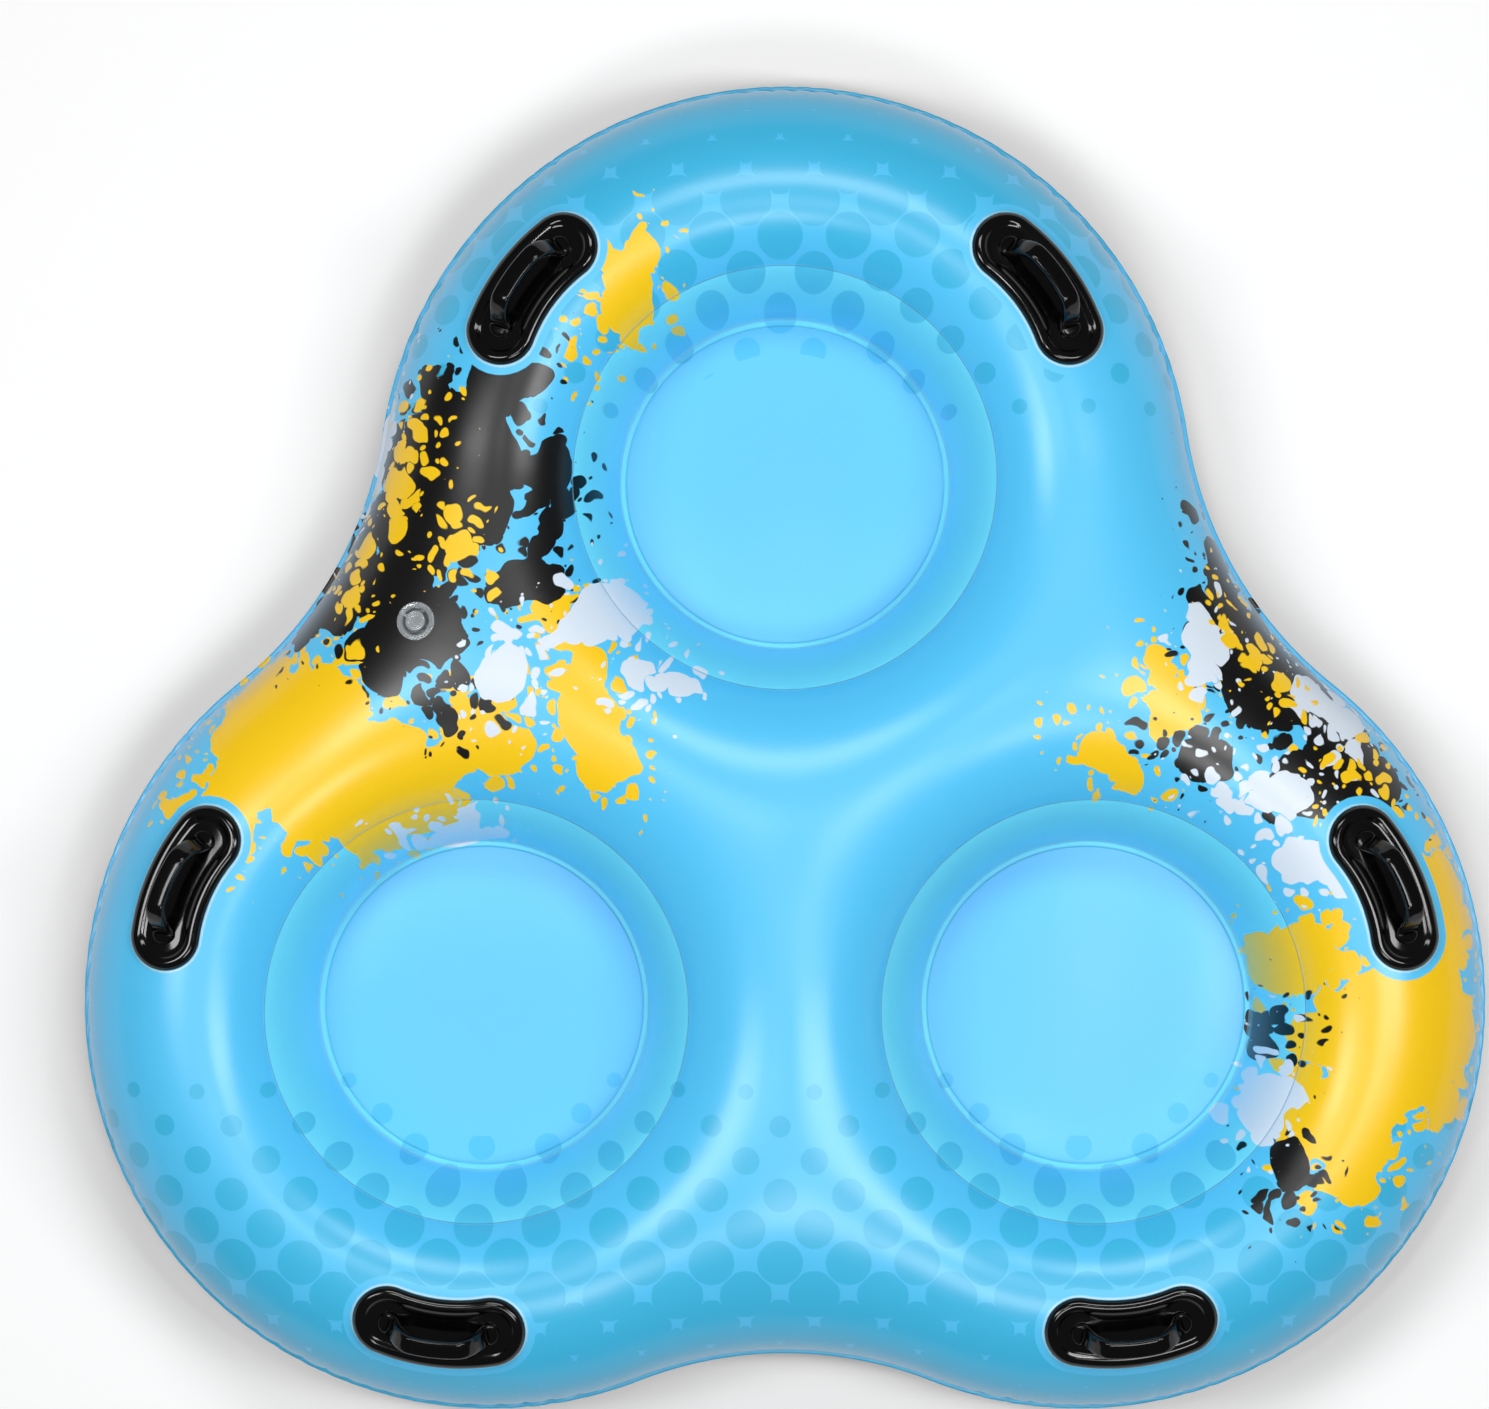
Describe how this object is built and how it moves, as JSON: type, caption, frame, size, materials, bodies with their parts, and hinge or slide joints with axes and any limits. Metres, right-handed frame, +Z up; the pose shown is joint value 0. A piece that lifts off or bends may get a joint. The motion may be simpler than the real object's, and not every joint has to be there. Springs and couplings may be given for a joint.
{
  "type": "snow tube",
  "caption": "Round-lobed inflatable snow tube with seat wells round a shared hub, moulded hand grips on top and a recessed inflation valve in one waist.",
  "frame": {"origin": "middle of the tube's bounding box, on the ground", "axes": "+Z up, +X across the tube's widest side, +Y towards the lobe that stands alone"},
  "size_m": [1.881, 1.7756, 0.3454],
  "materials": {
    "printed_vinyl": "calendered vinyl film, sky blue with a printed halftone and paint splashes",
    "well_vinyl": "calendered vinyl film, sky blue",
    "floor_vinyl": "calendered vinyl film, light sky blue",
    "black_vinyl": "heavy black vinyl film, satin",
    "handle_vinyl": "moulded black vinyl, gloss",
    "grip_vinyl": "moulded black vinyl, gloss",
    "clear_vinyl": "moulded clear vinyl"
  },
  "bodies": {
    "tube": {"top_sheet": "printed_vinyl", "bottom_sheet": "black_vinyl", "seat_wall_1": "well_vinyl", "seat_floor_1": "floor_vinyl", "handle_pad_1_left": "handle_vinyl", "handle_grip_1_left": "grip_vinyl", "handle_pad_1_right": "handle_vinyl", "handle_grip_1_right": "grip_vinyl", "seat_wall_2": "well_vinyl", "seat_floor_2": "floor_vinyl", "handle_pad_2_left": "handle_vinyl", "handle_grip_2_left": "grip_vinyl", "handle_pad_2_right": "handle_vinyl", "handle_grip_2_right": "grip_vinyl", "seat_wall_3": "well_vinyl", "seat_floor_3": "floor_vinyl", "handle_pad_3_left": "handle_vinyl", "handle_grip_3_left": "grip_vinyl", "handle_pad_3_right": "handle_vinyl", "handle_grip_3_right": "grip_vinyl", "valve_body": "clear_vinyl"},
    "cap": {"valve_cap": "clear_vinyl"},
    "flap": {"valve_flap": "clear_vinyl"}
  },
  "joints": [
    {"name": "valve_cap_hinge", "type": "hinge", "parent": "tube", "child": "cap", "pos_m": [-0.50341, 0.1769, 0.29156], "axis": [-0.5, -0.866, 0], "range_deg": [0, 150]},
    {"name": "valve_flap_hinge", "type": "hinge", "parent": "tube", "child": "flap", "pos_m": [-0.48696, 0.1674, 0.27601], "axis": [0.5, 0.866, 0], "range_deg": [0, 60], "stiffness_Nm_per_rad": 0.001, "springref_deg": -5.73}
  ]
}
